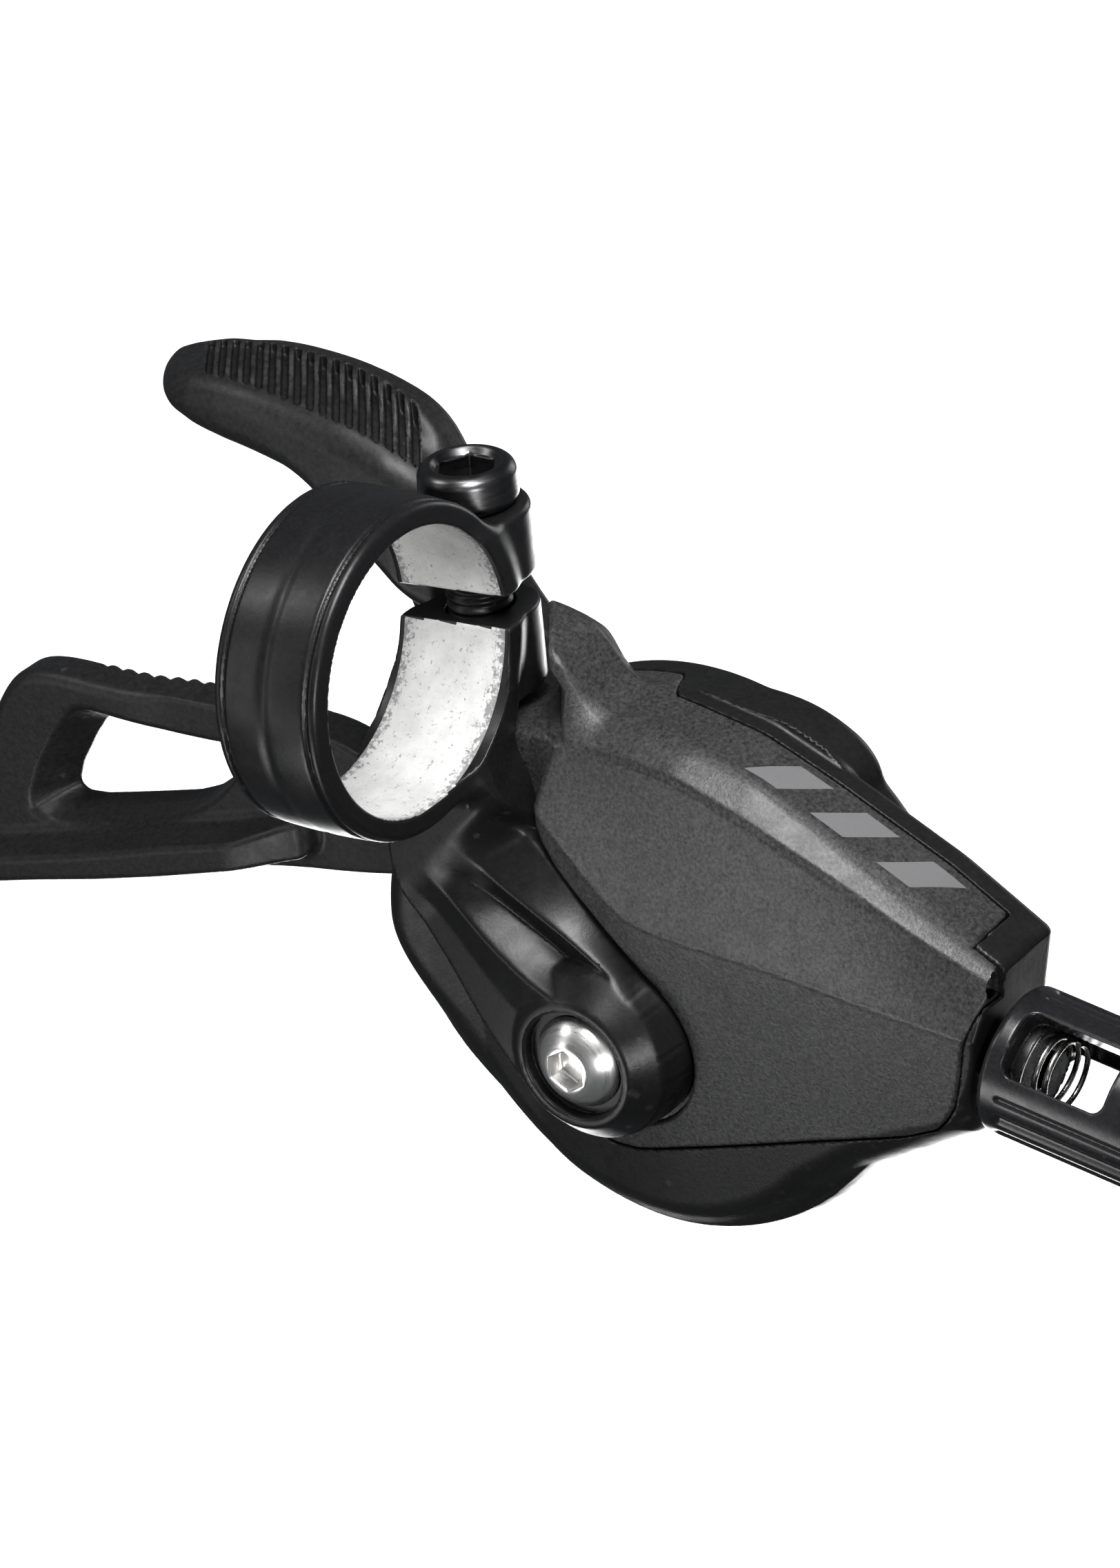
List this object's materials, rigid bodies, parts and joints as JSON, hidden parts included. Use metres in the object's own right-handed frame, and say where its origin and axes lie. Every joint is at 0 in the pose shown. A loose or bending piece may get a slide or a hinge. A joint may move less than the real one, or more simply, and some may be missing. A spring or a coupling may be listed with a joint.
{
  "type": "bicycle thumb shifter",
  "caption": "Right-hand bicycle trigger shifter: split band clamp, rounded housing with ratchet spool, ribbed thumb lever, hollow release lever and barrel cable adjuster.",
  "frame": {"origin": "on the handlebar's axis, in the middle of the clamp band's width", "axes": "+Y along the handlebar towards the grip; +Z along the clamp bolt, towards its head; +X along the levers' axle, away from the cover"},
  "size_m": [0.0424, 0.1154, 0.0637],
  "materials": {
    "clamp_black": "satin black, with the handlebar seat left as bare blasted aluminium",
    "bolt_steel": "dark, oiled",
    "bright_steel": "polished",
    "cover_grey": "finely speckled satin",
    "case_black": "satin black",
    "lever_grey": "fine-grained matt",
    "barrel_black": "semi-gloss black",
    "plated_steel": "zinc plated",
    "spring_steel": "ground",
    "brass": "turned",
    "nylon": "natural",
    "plug_rubber": "matt"
  },
  "bodies": {
    "housing": {"clamp_band": "clamp_black", "clamp_bolt": "bolt_steel", "bracket_bolt": "bright_steel", "front_cover": "cover_grey", "main_case": "case_black", "top_plate": "plated_steel", "base_plate": "plated_steel", "main_axle": "spring_steel", "axle_washer": "plated_steel", "axle_nut": "bolt_steel", "housing_screws": "bolt_steel", "spool_bush": "nylon", "lever_bush": "brass", "spool_spring": "spring_steel", "lever_spring": "spring_steel", "release_spring": "spring_steel", "pawl_pin": "spring_steel", "release_pin": "spring_steel", "cable_port_plug": "plug_rubber", "adjuster_insert": "brass"},
    "spool": {"cable_spool": "nylon", "ratchet_wheel": "spring_steel"},
    "main_lever": {"main_lever": "lever_grey", "drive_plate": "plated_steel"},
    "drive_pawl": {"drive_pawl": "spring_steel"},
    "holding_pawl": {"holding_pawl": "spring_steel"},
    "release_lever": {"release_lever": "lever_grey"},
    "adjuster_seat": {"housing_seat": "case_black", "adjuster_spring": "bright_steel"},
    "adjuster_barrel": {"barrel_adjuster": "barrel_black"}
  },
  "joints": [
    {"name": "lever_push", "type": "hinge", "parent": "housing", "child": "main_lever", "pos_m": [0.024, -0.012, -0.0334], "axis": [-1, 0, 0], "range_deg": [0, 60]},
    {"name": "spool_turn", "type": "hinge", "parent": "housing", "child": "spool", "pos_m": [0.0133, -0.012, -0.0334], "axis": [-1, 0, 0], "range_deg": [0, 220]},
    {"name": "drive_pawl_drop", "type": "hinge", "parent": "main_lever", "child": "drive_pawl", "pos_m": [0.0157, -0.02365, -0.0434], "axis": [-1, 0, 0], "range_deg": [0, 10]},
    {"name": "holding_pawl_drop", "type": "hinge", "parent": "housing", "child": "holding_pawl", "pos_m": [0.0157, -0.01483, -0.01831], "axis": [-1, 0, 0], "range_deg": [0, 10]},
    {"name": "release_push", "type": "hinge", "parent": "housing", "child": "release_lever", "pos_m": [0.0146, 0.0005, -0.021], "axis": [-1, 0, 0], "range_deg": [-6, 9]},
    {"name": "adjuster_travel", "type": "slide", "parent": "housing", "child": "adjuster_seat", "axis": [0, -0.9823, -0.1874], "range_m": [0, 0.004]},
    {"name": "adjuster_turn", "type": "hinge", "parent": "adjuster_seat", "child": "adjuster_barrel", "pos_m": [0.0133, -0.0458, -0.0292], "axis": [0, -0.9823, -0.1874], "range_deg": [0, 1801]}
  ],
  "couplings": [
    {"joint": "adjuster_turn", "follows": "adjuster_travel", "rad_per_m": 7854}
  ]
}
